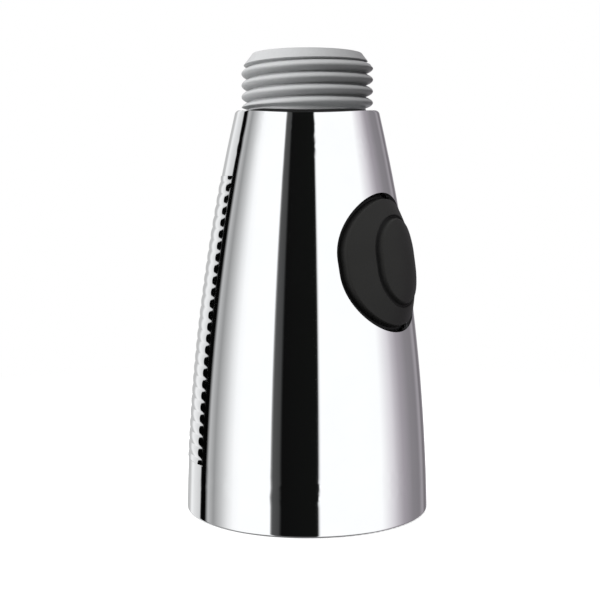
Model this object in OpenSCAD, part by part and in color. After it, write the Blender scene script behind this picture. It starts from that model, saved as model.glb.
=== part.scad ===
// Pull-out spray head of a kitchen tap: a plated tapered shell on a moulded water body, with a
// threaded hose inlet and check valve on top, a rubber-covered spray button on the flank and an
// aerator inside a ring of soft nozzles at the open end.
// The origin is the middle of the open end, +Z runs up the axis to the hose thread.

/* [Shell] */
// Outer diameter of the shell at the spray end
base_d = 39.2; // [38.8:0.1:41]
// Outer diameter of the shell at the top lip
top_d = 22.9; // [22.6:0.1:24]
// Height of the shell
body_h = 64; // [60:0.1:68]
// How far below the spray end the flank would become upright
flank_drop = 7; // [4:0.5:10]
// Wall of the shell
shell_wall = 1.6; // [1.4:0.1:1.7]
// Rounding of the top lip
lip_round = 0.6; // [0.4:0.1:0.8]
// Rounding of the edge at the spray end
foot_round = 0.4; // [0.2:0.1:0.6]
// Height of the inner ledge over the spray end
ledge_z = 9.2; // [9.2:0.1:10]
// Thickness of the inner ledge
ledge_h = 1.4; // [1:0.1:2]
// Gap between the ledge and the skirt of the water body
ledge_gap = 0.6; // [0.4:0.1:0.8]
// Height of the land inside the top opening
mouth_h = 2; // [1.6:0.1:2.4]
// Gap between the top opening and the collar of the hose inlet
mouth_gap = 0.43; // [0.3:0.01:0.5]
// How far the top edge dips at the front and the back
rim_dip = 1; // [0.4:0.1:1.2]

/* [Finger grip] */
// Lowest groove of the finger grip
grip_z = 9.6; // [8:0.1:10]
// Distance from the top of the shell down to the end of the grip
grip_drop = 12.5; // [10:0.5:30]
// Distance from one groove to the next
grip_pitch = 1.8; // [1.7:0.05:2.4]
// Depth of a groove
grip_depth = 0.25; // [0.2:0.05:0.45]
// Radius of the groove's round section
groove_r = 0.7; // [0.6:0.05:0.8]
// Half of the angle that the grip covers
grip_half_angle = 64; // [40:1:70]

/* [Button] */
// Angle from the front of the head round to the button
button_turn = 54; // [45:1:65]
// Distance from the top of the shell down to the middle of the button
button_drop = 23.6; // [23.2:0.1:24]
// Width of the button's opening in the shell
button_w = 19.6; // [19.2:0.1:19.8]
// Length of the button's opening along the flank
button_l = 21.6; // [21:0.1:22]
// Gap between the rubber and the edge of the opening
boot_gap = 0.2; // [0.15:0.05:0.3]
// Height of the rubber dome over the flank
dome_h = 2.9; // [2.7:0.1:3.2]
// How much the pad falls from its middle to its edge
pad_fall = 0.93; // [0.7:0.01:1.1]
// Step down from the pad's edge to the skirt
pad_step = 0.35; // [0.2:0.05:0.5]
// Width of the crease round the pad
crease_w = 0.35; // [0.25:0.05:0.5]
// Width of the sloping skirt round the pad
skirt_w = 4.1; // [3.8:0.1:4.4]
// Thickness of the rubber under the pad
boot_wall = 1.1; // [0.8:0.1:1.2]
// Thickness of the rubber flange behind the shell
boot_flange = 1; // [0.8:0.1:1.1]
// Width of the rubber flange behind the shell
boot_grip = 1.2; // [1:0.1:1.3]
// Distance the button is pressed in
travel = 2; // [1.5:0.1:2.1]

/* [Hose inlet] */
// Major diameter of the pipe thread
thread_d = 20.955; // [20.9:0.005:21]
// Pitch of the pipe thread
thread_pitch = 1.814; // [1.75:0.002:1.82]
// Depth of the thread
thread_depth = 1.162; // [1:0.002:1.18]
// Half angle between the thread's flanks
thread_half_angle = 27.5; // [26:0.5:30]
// Height of the threaded end over the shell
inlet_h = 9; // [8.6:0.1:10]
// Gap between the thread and the shell's lip
inlet_gap = 0.4; // [0.3:0.05:0.5]
// How far the flank of the first crest starts over the foot of the thread
thread_start = -0.3; // [-0.35:0.05:0.2]
// Height of the tapered lead-in at the open end
lead_h = 2.3; // [1.6:0.1:2.4]
// Depth of the lead-in, measured at the open end
lead_w = 1.78; // [1.4:0.02:2]
// Wall round the strainer's seat, from the root of the thread
inlet_wall = 1.9; // [1.7:0.1:2.1]
// Step from the root of the thread in to the spigot
spigot_step = 1.8; // [1.75:0.05:2]
// Wall of the spigot round the check valve
spigot_wall = 1.9; // [1.8:0.1:2]
// Depth of the spigot under the shell's lip
spigot_l = 10.6; // [10.2:0.1:11]

/* [Check valve] */
// Length of the check valve
valve_h = 12; // [11.6:0.1:12.2]
// Gap round the check valve in its bore
valve_gap = 0.15; // [0.1:0.05:0.2]
// Wall of the check valve
valve_wall = 1.25; // [1.15:0.05:1.3]
// Gap round the poppet
poppet_gap = 0.6; // [0.4:0.05:0.8]
// Thickness of the poppet
poppet_t = 1.5; // [1.2:0.1:1.7]
// Width of the poppet's edge that closes the seat
poppet_lap = 0.7; // [0.5:0.05:0.9]
// Diameter of the poppet's stem
poppet_stem_d = 1.8; // [1.6:0.1:1.9]
// Lift of the poppet
poppet_lift = 1.8; // [1:0.1:1.9]

/* [Diverter] */
// Diameter of the diverter's bore
chamber_d = 8.4; // [8.2:0.1:8.5]
// Wall of the diverter's tube
chamber_wall = 2; // [1.6:0.1:2.1]
// Diameter of the button's stem
stem_d = 4; // [3.6:0.1:4.1]
// Gap round the valve disc in the diverter's bore
disc_gap = 0.7; // [0.6:0.1:0.9]
// Bore of the pipe to the aerator
stream_d = 3.8; // [3:0.1:3.9]
// Wall of the pipe to the aerator
stream_wall = 1.5; // [1.2:0.1:1.6]
// Bore of the pipe to the nozzles
spray_d = 4.4; // [3:0.1:4.6]
// Wall of the pipe to the nozzles
spray_wall = 1.4; // [1.1:0.1:1.5]

/* [Spray face] */
// Height of the face over the shell's edge
face_z = 0.9; // [0.8:0.1:1]
// Thickness of the face
face_t = 1.6; // [1.2:0.1:1.6]
// Wall of the collar that holds the face in the shell
collar_wall = 1.25; // [1.1:0.05:1.4]
// Number of nozzles in each ring
nozzle_n = 18; // [12:1:18]
// Width of the ring of nozzles, which leaves the rest of the face to the aerator
ring_w = 4.6; // [4.5:0.05:4.7]
// Distance from the edge of the soft ring to the middle of a nozzle
nozzle_edge = 1.2; // [1.15:0.05:1.3]
// Diameter of a nozzle
nozzle_d = 1.5; // [1.2:0.1:1.6]
// Diameter of a nozzle's jet hole
jet_d = 0.8; // [0.5:0.1:0.9]
// How far the nozzles stand out of the face
nozzle_rise = 0.55; // [0.4:0.05:0.7]
// Thickness of the soft ring behind the face
mat_t = 1; // [0.8:0.1:1.2]
// Thickness of the plate over the soft ring
plate_t = 1.2; // [1:0.1:1.3]

/* [Aerator] */
// Height of the aerator's housing
aerator_h = 6.4; // [6.3:0.1:6.8]
// Wall of the aerator's housing
aerator_wall = 0.9; // [0.8:0.1:1]
// Width of the edge that the grid rests on
aerator_lip = 0.7; // [0.5:0.1:0.8]
// Thickness of the floor of the housing
aerator_floor = 1; // [0.8:0.1:1.1]
// Thickness of the grid
grid_t = 1.2; // [1:0.1:1.3]
// Distance from one bar of the grid to the next
grid_step = 1.7; // [1.6:0.05:1.8]
// Thickness of a bar of the grid
grid_bar = 0.45; // [0.35:0.05:0.5]
// Distance from one wire of the screen to the next
screen_step = 1.1; // [1.05:0.05:1.2]
// Thickness of the diffuser
diffuser_h = 2.5; // [2.3:0.1:2.6]

/* [Hidden] */
// smoothness of round parts
$fn = 96;
flank_fn = 1440;
// smallest overlap that joins two solids
eps = 0.02;
// how far joined solids reach into each other
sink = 0.5;
// gap between fixed plastic parts
fit = 0.2;
// gap between a seat and what rests on it
seat_gap = 0.1;
// gap between a seal and its groove
seal_gap = 0.03;
// play of a seal along its groove
seal_play = 0.2;
// gap between a spring and what it pushes
spring_gap = 0.05;
// gap round a moving stem
run_gap = 0.3;
// gap behind the shell's wall
back_gap = 0.15;

// the flank is one arc through the foot and the lip
base_r = base_d / 2;
top_r = top_d / 2;
flank_cx = (base_r + top_r) / 2 - (body_h * body_h + 2 * body_h * flank_drop) / (2 * (base_r - top_r));
flank_r = sqrt(pow(base_r - flank_cx, 2) + pow(flank_drop, 2));
function flank(z) = flank_cx + sqrt(pow(flank_r, 2) - pow(z + flank_drop, 2));

// the top edge is cut by a lying cylinder that meets the flank's outline at the sides
rim_r = (top_r * top_r + rim_dip * rim_dip) / (2 * rim_dip);

// grooves that fit between the lowest one and the end of the grip
grip_n = floor((body_h - grip_drop - grip_z) / grip_pitch) + 1;

// the push axis stands square to the flank and meets the head's axis at push_z
button_z = body_h - button_drop;
button_az = button_turn - 90;
tilt = asin((button_z + flank_drop) / flank_r);
push_z = button_z - flank(button_z) * tan(tilt);
flank_out = flank(button_z) / cos(tilt);
oval_r = button_w / 2;
oval_e = (button_l - button_w) / 2;
boot_r = oval_r - boot_gap;
flange_r = oval_r + boot_grip;
pad_r = boot_r - skirt_w;
// oval radius inside which the rings of the cover turn round
blend_r = 3;
// fall of the cover's rounded edge into the opening
edge_r = 0.15;

// levels along the push axis, from the head's axis outwards
chamber_back = -9.8;
chamber_mouth = 8.3;
chamber_end = 1.4;
seat_back = -2.2;
seat_front = -seat_back;
seat_wall = 1.2;
disc_t = seat_front - seat_back - travel - 2 * fit;
disc_front = seat_front - fit;
disc_back = disc_front - disc_t;
disc_r = chamber_d / 2 - disc_gap;
disc_seal_t = 0.5;
disc_seal_w = 0.4;
carrier_p = chamber_mouth + back_gap;
carrier_t = 1.45;
carrier_floor = carrier_p + carrier_t;
carrier_rim = 0.2;
carrier_step = 1.3;
plunger_gap = 1.35;
plunger_front = flank_out + dome_h - boot_wall - plunger_gap;
plunger_t = 3.1;
plunger_back = plunger_front - plunger_t;
plunger_r = 4.2;
plunger_step_r = 3.4;
plunger_step = 0.5;
spool_r = 1.2;
spool_back = -6;
spool_in = 3;
socket_play = 0.05;
spring_plate_p = -3.2;
spring_plate_t = 0.8;
spring_plate_r = stem_d / 2 + 0.3;
spring_room_r = 3.4;
button_coil_r = 1.75;
button_wire_r = 0.25;
port_r = 1.3;
port_p = 4.6;
stem_gland_r = 3.2;
stem_gland_h = 1.1;
stem_play = 0.23;
cage_gap = 0.1;
cage_room_r = 3.3;
cage_room = 2.8;
cage_seat_t = 1;
cage_groove_p = 6.15;
cage_groove = 0.7;

// screws that hold the carrier
screw_v = 7.2;
screw_r = 0.9;
screw_head_r = 1.8;
screw_head_h = 1.3;
screw_slot = 0.5;
screw_slot_l = 2;
screw_in = 3.6;
boss_r = 2.3;
boss_back = 1;
boss_hole_r = screw_r + seat_gap;
boss_hole_p = screw_in - 2 * fit;

// levels and radii of the hose inlet
thread_z = body_h + inlet_gap;
top_z = body_h + inlet_h;
thread_r = thread_d / 2;
root_r = thread_r - thread_depth;
thread_run = thread_depth * tan(thread_half_angle);
thread_flat = (thread_pitch - 2 * thread_run) / 2;
thread_turns = floor((inlet_h - inlet_gap - thread_start) / thread_pitch) + 1;
mouth_r = root_r + mouth_gap;
lip_r = min(lip_round, 0.8 * (top_r - mouth_r));
spigot_r = root_r - spigot_step;
spigot_groove = 1;
spigot_seal_rise = 2;
socket_r = spigot_r + seat_gap;
socket_wall = 1.1;
socket_t = 1.6;
socket_lip = 1.4;
socket_floor = body_h - spigot_l;
socket_top = body_h - socket_lip;
bore_r = spigot_r - spigot_wall;
bore_ledge = 0.8;
strainer_r = root_r - inlet_wall;
strainer_depth = 2.2;
strainer_t = 1.6;
strainer_w = 1.2;
strainer_gap = 0.1;
mesh_t = 0.2;
mesh_slot = 0.6;
mesh_rise = 0.7;
mesh_step = 1.35;
mesh_hole = 0.95;
mesh_rim = 1.1;

// levels and radii of the check valve
valve_drop = 3.1;
valve_z1 = top_z - valve_drop;
valve_z0 = valve_z1 - valve_h;
valve_r = bore_r - valve_gap;
valve_room_r = valve_r - valve_wall;
poppet_r = valve_room_r - poppet_gap;
poppet_seat_r = poppet_r - poppet_lap;
poppet_seat_t = 1.9;
poppet_z = valve_z1 - poppet_seat_t - fit;
poppet_stem_r = poppet_stem_d / 2;
poppet_over = 0.8;
valve_groove = 0.7;
valve_groove_drop = 3;
guide_t = 1.2;
// length of the valve's spring with the poppet fully open
valve_spring_min = 3.5;
guide_z = poppet_z - poppet_t - poppet_lift - valve_spring_min - guide_t;
guide_r = 2;
guide_hole_r = poppet_stem_r + run_gap;
spoke_w = 0.8;
valve_coil_r = 1.55;
valve_wire_r = 0.2;

// levels and radii of the spray end, from the shell's wall inwards and from the face up
collar_r1 = flank(ledge_z) - shell_wall - fit;
collar_r0 = collar_r1 - collar_wall;
skirt_r = collar_r0 - fit;
skirt_wall = 1.5;
skirt_groove = 0.8;
skirt_seal_drop = 1.6;
ledge_r = skirt_r + ledge_gap;
ring_r1 = skirt_r - skirt_wall - back_gap;
ring_r0 = ring_r1 - ring_w;
sleeve_wall = 1.2;
sleeve_r = ring_r0 - back_gap - sleeve_wall;
ring_mid = (ring_r0 + ring_r1) / 2;
nozzle_r1 = ring_r0 + nozzle_edge;
nozzle_r2 = ring_r1 - nozzle_edge;
nozzle_gap = 0.15;
plate_hole_r = 0.5;
mat_z = face_z + face_t + seat_gap;
plate_z = mat_z + mat_t + seat_gap;
skirt_z = plate_z + plate_t + seat_gap;
aerator_r = sleeve_r - fit;
aerator_rise = 0.3;
aerator_z = face_z + aerator_rise;
aerator_gap = 0.1;
stack_r = aerator_r - aerator_wall - aerator_gap;
grid_z = aerator_z + aerator_floor + seat_gap;
stack_gap = 0.6;
screen_t = 0.2;
screen_wire = 0.35;
screen_z = grid_z + grid_t + stack_gap;
diffuser_z = screen_z + screen_t + stack_gap;
diffuser_floor = 1.1;
diffuser_wall = 0.8;
diffuser_hole_r = 0.4;
diffuser_edge = 2;
diffuser_step = 1.8;
diffuser_pitch = 1.75;
diffuser_r2 = stack_r - diffuser_edge;
diffuser_r1 = diffuser_r2 - diffuser_step;
diffuser_n = floor(2 * PI * diffuser_r1 / diffuser_pitch);
notch_w = 2.4;
notch_d = 0.8;
aerator_seal_z = aerator_z + aerator_h + seat_gap;
aerator_seal_t = 0.9;
aerator_seal_w = 1.2;
throat_z = aerator_seal_z + aerator_seal_t + seat_gap;
throat_h = 5.5;
throat_lap = 0.6;
throat_r0 = aerator_r - throat_lap;
throat_r1 = sleeve_r + sleeve_wall - run_gap;
bell_z = throat_z + throat_h;
bell_t = 1.8;
post_r = 1;
riser_r = 3.2;
riser_wall = 2;
web_t = 2;
web_h = 16;

// where the two pipes meet the bell, counted towards the button
stream_x = -(throat_r0 - stream_d / 2 - fit);
spray_x = ring_mid;

// puts children drawn along +X on the push axis
module on_push_axis() {
  translate([0, 0, push_z]) rotate([0, 0, button_az]) rotate([0, -tilt, 0]) children();
}

// round bar along the push axis
module rod(r, p0, p1) {
  translate([p0, 0, 0]) rotate([0, 90, 0]) cylinder(r = r, h = p1 - p0);
}

// oval outline of the button, drawn in the plane square to the push axis
module oval_2d(r) {
  translate([oval_e, 0]) circle(r = r);
  translate([-oval_e, 0]) circle(r = r);
  if (oval_e > 0) square([2 * oval_e, 2 * r], center = true);
}

module oval(r, p0, p1) {
  translate([p0, 0, 0]) rotate([0, 90, 0]) linear_extrude(height = p1 - p0) oval_2d(r);
}

// solid inside the flank, inset by a wall
module flank_2d(inset, z0, z1) {
  intersection() {
    translate([flank_cx, -flank_drop]) circle(r = flank_r - inset, $fn = flank_fn);
    translate([0, z0]) square([base_d, z1 - z0]);
  }
}

module flank_solid(inset, z0, z1) {
  rotate_extrude($fn = 180) flank_2d(inset, z0, z1);
}

// cutter that leaves a round of radius r on the outer corner at height z, side 1 above, -1 below
module corner_2d(r, z, side) {
  cz = z - side * r;
  a = asin((cz + flank_drop) / (flank_r - r));
  cx = flank_cx + (flank_r - r) * cos(a);
  tz = cz + r * sin(a);
  difference() {
    translate([cx, side > 0 ? tz : tz - 2 * r]) square([2 * r, 2 * r]);
    translate([cx, cz]) circle(r = r);
  }
}

module tube(r1, r0, z0, z1) {
  difference() {
    translate([0, 0, z0]) cylinder(r = r1, h = z1 - z0);
    translate([0, 0, z0 - sink]) cylinder(r = r0, h = z1 - z0 + 2 * sink);
  }
}

// ring of round section that fills the room between two radii, centred at height 0
function seal_r(r0, r1) = (r1 - r0) / 2 - seal_gap;
module seal_ring(r0, r1) {
  rotate_extrude() translate([(r0 + r1) / 2, 0]) circle(r = seal_r(r0, r1), $fn = 32);
}

// groove for that ring in a round piece of radius r, cut depth deep for a bore of radius bore
module seal_groove(r, depth, bore) {
  half = seal_r(r - depth, bore) + seal_play / 2;
  tube(r + sink, r - depth, -half, half);
}

// wire coil along +Z with closed flat ends
module coil(r_mid, wire_r, length, turns) {
  sides = 8;
  steps = 16;
  n = turns * steps;
  rise = (length - 2 * wire_r) / n;
  pts = [for (i = [0:n], j = [0:sides - 1])
    let (a = 360 * i / steps, b = 360 * j / sides, r = r_mid + wire_r * cos(b))
    [r * cos(a), r * sin(a), wire_r + i * rise + wire_r * sin(b)]];
  skin = [for (i = [0:n - 1], j = [0:sides - 1])
    let (k = (j + 1) % sides) [i * sides + j, i * sides + k, (i + 1) * sides + k, (i + 1) * sides + j]];
  first = [for (j = [sides - 1:-1:0]) j];
  last = [for (j = [0:sides - 1]) n * sides + j];
  polyhedron(points = pts, faces = concat(skin, [first, last]), convexity = 10);
}

// Shell

module shell() {
  color([0.86, 0.87, 0.88])
  difference() {
    rotate_extrude($fn = 180) difference() {
      flank_2d(0, 0, body_h);
      difference() {
        flank_2d(shell_wall, -sink, body_h + sink);
        translate([ledge_r, ledge_z]) square([base_d, ledge_h]);
        translate([mouth_r, body_h - mouth_h]) square([top_d, 2 * mouth_h]);
      }
      corner_2d(lip_r, body_h, 1);
      corner_2d(foot_round, 0, -1);
    }
    on_push_axis() oval(oval_r, oval_r, base_d);
    translate([0, top_d, body_h - rim_dip + rim_r]) rotate([90, 0, 0])
      cylinder(r = rim_r, h = 2 * top_d, $fn = 360);
    for (i = [0:grip_n - 1])
      rotate([0, 0, button_az + 180 - grip_half_angle])
        rotate_extrude(angle = 2 * grip_half_angle, $fn = 180)
          translate([flank(grip_z + i * grip_pitch) + groove_r - grip_depth, grip_z + i * grip_pitch])
            circle(r = groove_r, $fn = 40);
  }
}

// Hose inlet

// thread crests as rings with the true flank angle, inside the outline of the tapered lead-in
module thread_2d() {
  z0 = thread_z + thread_start;
  crest = [[root_r, 0], [thread_r, thread_run], [thread_r, thread_run + thread_flat],
    [root_r, 2 * thread_run + thread_flat]];
  intersection() {
    polygon(concat(
      [[0, z0 - thread_pitch], [root_r, z0 - thread_pitch]],
      [for (i = [0:thread_turns - 1], q = crest) [q[0], z0 + i * thread_pitch + q[1]]],
      [[root_r, top_z + thread_pitch], [0, top_z + thread_pitch]]));
    polygon([[0, thread_z], [thread_d, thread_z], [thread_d, top_z - lead_h], [thread_r, top_z - lead_h],
      [thread_r - lead_w, top_z], [0, top_z]]);
  }
}

module inlet_connector() {
  color([0.74, 0.75, 0.75])
  difference() {
    union() {
      rotate_extrude($fn = 180) thread_2d();
      translate([0, 0, socket_top + fit]) cylinder(r = root_r, h = thread_z - socket_top);
      translate([0, 0, socket_floor + fit]) cylinder(r = spigot_r, h = thread_z - socket_floor);
    }
    translate([0, 0, socket_floor]) cylinder(r = bore_r - bore_ledge, h = body_h);
    translate([0, 0, valve_z0]) cylinder(r = bore_r, h = body_h);
    translate([0, 0, top_z - strainer_depth]) cylinder(r = strainer_r, h = 2 * strainer_depth);
    translate([0, 0, socket_floor + spigot_seal_rise]) seal_groove(spigot_r, spigot_groove, socket_r);
  }
}

module connector_seal() {
  color([0.1, 0.1, 0.1])
  translate([0, 0, socket_floor + spigot_seal_rise]) seal_ring(spigot_r - spigot_groove, socket_r);
}

// the strainer: a ring with a slot that holds a disc of mesh
strainer_z = top_z - strainer_depth + seat_gap;
mesh_r = strainer_r - strainer_gap - mesh_slot;

module strainer_ring() {
  r = strainer_r - strainer_gap;
  color([0.2, 0.32, 0.5])
  difference() {
    tube(r, r - strainer_w, strainer_z, strainer_z + strainer_t);
    translate([0, 0, strainer_z + mesh_rise]) cylinder(r = mesh_r, h = mesh_t + spring_gap);
  }
}

module strainer_mesh() {
  n = floor(mesh_r / mesh_step);
  color([0.6, 0.62, 0.63])
  translate([0, 0, strainer_z + mesh_rise + spring_gap / 2]) linear_extrude(height = mesh_t) difference() {
    circle(r = mesh_r - spring_gap);
    for (i = [-n:n], j = [-n:n])
      if (norm([i, j]) * mesh_step < mesh_r - mesh_rim)
        translate([i * mesh_step, j * mesh_step]) square(mesh_hole, center = true);
  }
}

// Check valve

module check_valve_body() {
  color([0.9, 0.9, 0.86])
  union() {
    difference() {
      translate([0, 0, valve_z0 + seat_gap]) cylinder(r = valve_r, h = valve_h - seat_gap);
      translate([0, 0, valve_z0 - sink]) cylinder(r = valve_room_r, h = valve_h - poppet_seat_t + sink);
      translate([0, 0, valve_z0]) cylinder(r = poppet_seat_r, h = 2 * valve_h);
      translate([0, 0, valve_z1 - valve_groove_drop]) seal_groove(valve_r, valve_groove, bore_r);
    }
    tube(guide_r, guide_hole_r, guide_z, guide_z + guide_t);
    for (a = [0, 120, 240]) rotate([0, 0, a])
      translate([guide_r - fit, -spoke_w / 2, guide_z])
        cube([valve_room_r - guide_r + 2 * fit, spoke_w, guide_t]);
  }
}

module check_valve_seal() {
  color([0.1, 0.1, 0.1])
  translate([0, 0, valve_z1 - valve_groove_drop]) seal_ring(valve_r - valve_groove, bore_r);
}

module check_valve_poppet() {
  color([0.85, 0.25, 0.2])
  translate([0, 0, poppet_z]) mirror([0, 0, 1]) {
    cylinder(r = poppet_r, h = poppet_t);
    cylinder(r = poppet_stem_r, h = poppet_z - guide_z + poppet_over);
  }
}

module check_valve_spring() {
  z0 = guide_z + guide_t + spring_gap;
  color([0.7, 0.71, 0.72])
  translate([0, 0, z0]) coil(valve_coil_r, valve_wire_r, poppet_z - poppet_t - spring_gap - z0, 5);
}

// Water body

// pipe between two points in the plane of the push axis
module pipe(r, x0, z0, x1, z1) {
  translate([x0, 0, z0]) rotate([0, atan2(x1 - x0, z1 - z0), 0])
    cylinder(r = r, h = norm([x1 - x0, z1 - z0]));
}

// outside of the pipe from the diverter down to the ring of nozzles
module spray_pipe(r) {
  pipe(r, spray_x - sink, bell_z + sink, port_p, push_z - chamber_wall);
}

module water_body() {
  color([0.55, 0.57, 0.58])
  difference() {
    union() {
      tube(socket_r + socket_wall, socket_r, socket_floor - eps, socket_top);
      translate([0, 0, socket_floor - socket_t]) cylinder(r = socket_r + socket_wall, h = socket_t);
      translate([0, 0, push_z]) cylinder(r = riser_r + riser_wall, h = socket_floor - socket_t / 2 - push_z);
      on_push_axis() {
        rod(chamber_d / 2 + chamber_wall, chamber_back - chamber_end, chamber_mouth);
        for (s = [-1, 1]) translate([0, 0, s * screw_v]) rod(boss_r, boss_back, chamber_mouth);
      }
      rotate([0, 0, button_az]) {
        pipe(stream_d / 2 + stream_wall, stream_x, bell_z + sink, stream_x, push_z - chamber_wall);
        spray_pipe(spray_d / 2 + spray_wall);
        translate([stream_x, -web_t / 2, bell_z + sink]) cube([spray_x - stream_x - spray_d, web_t, web_h]);
      }
      translate([0, 0, bell_z]) cylinder(r = skirt_r, h = bell_t);
      tube(skirt_r, skirt_r - skirt_wall, skirt_z, bell_z + sink);
      tube(throat_r1, throat_r0, throat_z, bell_z + sink);
      for (a = [0:60:300]) rotate([0, 0, a])
        translate([ring_mid, 0, skirt_z]) cylinder(r = post_r, h = bell_z - skirt_z + sink);
    }
    translate([0, 0, push_z]) cylinder(r = riser_r, h = body_h);
    on_push_axis() {
      rod(chamber_d / 2, seat_back, chamber_mouth + sink);
      rod(stem_d / 2 + 2 * run_gap, seat_back - 2 * seat_wall, 0);
      rod(spring_room_r, chamber_back, seat_back - seat_wall);
      for (s = [-1, 1]) translate([0, 0, s * screw_v])
        rod(boss_hole_r, boss_hole_p, chamber_mouth + sink);
    }
    rotate([0, 0, button_az]) {
      pipe(stream_d / 2, stream_x, bell_z - sink, stream_x, push_z - 2 * sink);
      pipe(spray_d / 2, spray_x, bell_z - sink, port_p, push_z - sink);
    }
    translate([0, 0, ledge_z - skirt_seal_drop]) seal_groove(skirt_r, skirt_groove, collar_r0);
  }
}

// Diverter valve and button

module valve_cage() {
  r = chamber_d / 2 - cage_gap;
  color([0.88, 0.88, 0.84])
  on_push_axis() difference() {
    rod(r, seat_front, chamber_mouth);
    rod(stem_d / 2 + run_gap + cage_gap, seat_front - sink, chamber_mouth + sink);
    rod(cage_room_r, seat_front + cage_seat_t, seat_front + cage_seat_t + cage_room);
    rod(stem_gland_r, chamber_mouth - stem_gland_h, chamber_mouth + sink);
    translate([port_p, 0, -chamber_d / 2 - sink]) cylinder(r = port_r, h = chamber_d + 2 * sink);
    translate([cage_groove_p + seal_play + seal_gap, 0, 0]) rotate([0, 90, 0])
      seal_groove(r, cage_groove, chamber_d / 2);
  }
}

module cage_seal() {
  color([0.1, 0.1, 0.1])
  on_push_axis() translate([cage_groove_p + seal_play + seal_gap, 0, 0]) rotate([0, 90, 0])
    seal_ring(chamber_d / 2 - cage_gap - cage_groove, chamber_d / 2);
}

module stem_seal() {
  color([0.1, 0.1, 0.1])
  on_push_axis() translate([chamber_mouth - stem_gland_h / 2, 0, 0]) rotate([0, 90, 0])
    seal_ring(stem_d / 2 + stem_play, stem_gland_r);
}

module button_carrier() {
  color([0.35, 0.36, 0.37])
  difference() {
    intersection() {
      on_push_axis() oval(flange_r + carrier_rim, carrier_p, base_d);
      flank_solid(shell_wall + back_gap + boot_flange + back_gap, 0, body_h);
    }
    on_push_axis() {
      oval(oval_r - carrier_step, carrier_floor, base_d);
      rod(stem_d / 2 + 2 * run_gap, 0, base_d);
      for (s = [-1, 1]) translate([0, 0, s * screw_v]) rod(screw_r + run_gap, 0, base_d);
    }
    rotate([0, 0, button_az]) spray_pipe(spray_d / 2 + spray_wall + run_gap);
  }
}

module carrier_screws() {
  head_p = carrier_floor + spring_gap;
  color([0.75, 0.76, 0.77])
  on_push_axis() for (s = [-1, 1]) translate([0, 0, s * screw_v]) difference() {
    union() {
      rod(screw_r, screw_in, head_p + sink);
      rod(screw_head_r, head_p, head_p + screw_head_h);
    }
    translate([head_p + screw_head_h / 2, -screw_slot / 2, -screw_slot_l / 2])
      cube([screw_head_h, screw_slot, screw_slot_l]);
    translate([head_p + screw_head_h / 2, -screw_slot_l / 2, -screw_slot / 2])
      cube([screw_head_h, screw_slot_l, screw_slot]);
  }
}

// distance along the push axis of the flank inset by o, at u across and v along the button
function flank_p(u, v, o, p = flank_out, n = 5) = n == 0 ? p :
  flank_p(u, v, o, (sqrt(pow(flank(push_z + p * sin(tilt) + v * cos(tilt)) - o, 2) - u * u)
    + v * sin(tilt)) / cos(tilt), n - 1);

// height of the rubber over the flank: a domed pad, a crease round it and a sloping skirt
crease_r = pad_r + crease_w;
skirt_top = dome_h - pad_fall - pad_step;
function cover_h(r) = r <= pad_r ? dome_h - pad_fall * pow(r / pad_r, 2) : r <= crease_r ?
  skirt_top + pad_step * (crease_r - r) / crease_w : skirt_top * (boot_r - r) / (boot_r - crease_r);

module button_boot() {
  m = 72;
  under = shell_wall + back_gap;
  rim_r = boot_r - edge_r;
  flange_r0 = boot_r - 6 * edge_r;
  // each row is a ring: oval radius, inset of the base surface, height over it
  top_r = concat([for (i = [1:7]) pad_r * i / 7], [for (i = [0:5]) crease_r + (rim_r - crease_r) * i / 5]);
  under_r = concat([for (i = [0:4]) flange_r0 - edge_r + (crease_r - flange_r0) * i / 4],
    [for (i = [5:-1:1]) pad_r * i / 5.5]);
  top = [for (r = top_r) [r, 0, cover_h(r) + eps]];
  edge = [[boot_r, 0, -edge_r], [boot_r, under, 0], [flange_r, under, 0],
    [flange_r, under + boot_flange, 0], [flange_r0, under + boot_flange, 0]];
  inner = [for (r = under_r) [r, 0, cover_h(r) - boot_wall]];
  rows = concat(top, edge, inner);
  n = len(rows);
  function spot(r, o, h, a) = let (u = r * cos(a),
    v = r * sin(a) + oval_e * min(1, r / blend_r) * sign(sin(a))) [flank_p(u, v, o) + h, u, v];
  pts = concat(
    [[flank_p(0, 0, 0) + dome_h, 0, 0]],
    [for (row = rows, j = [0:m - 1]) spot(row[0], row[1], row[2], 360 * (j + 0.5) / m)],
    [[flank_p(0, 0, 0) + dome_h - boot_wall, 0, 0]]);
  skin = [for (i = [0:n - 2], j = [0:m - 1]) let (k = (j + 1) % m)
    each [[1 + i * m + j, 1 + i * m + k, 1 + (i + 1) * m + k],
      [1 + i * m + j, 1 + (i + 1) * m + k, 1 + (i + 1) * m + j]]];
  cap = [for (j = [0:m - 1]) [0, 1 + (j + 1) % m, 1 + j]];
  floor_ring = 1 + (n - 1) * m;
  pit = [for (j = [0:m - 1]) [n * m + 1, floor_ring + j, floor_ring + (j + 1) % m]];
  color([0.18, 0.18, 0.18])
  on_push_axis() polyhedron(points = pts, faces = concat(cap, skin, pit), convexity = 8);
}

module button_plunger() {
  color([0.8, 0.8, 0.78])
  on_push_axis() difference() {
    union() {
      oval(plunger_r, plunger_back, plunger_front - plunger_step);
      oval(plunger_step_r, plunger_back, plunger_front);
      rod(stem_d / 2, chamber_mouth - spool_in - fit, plunger_back + sink);
    }
    rod(spool_r + socket_play, chamber_mouth - spool_in - 2 * sink, chamber_mouth - fit);
  }
}

module diverter_spool() {
  color([0.82, 0.5, 0.2])
  on_push_axis() {
    rod(spool_r, spool_back, chamber_mouth - run_gap);
    rod(disc_r - disc_seal_w, disc_back + disc_seal_t, disc_front - disc_seal_t);
    rod(spring_plate_r, spring_plate_p, spring_plate_p + spring_plate_t);
  }
}

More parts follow.
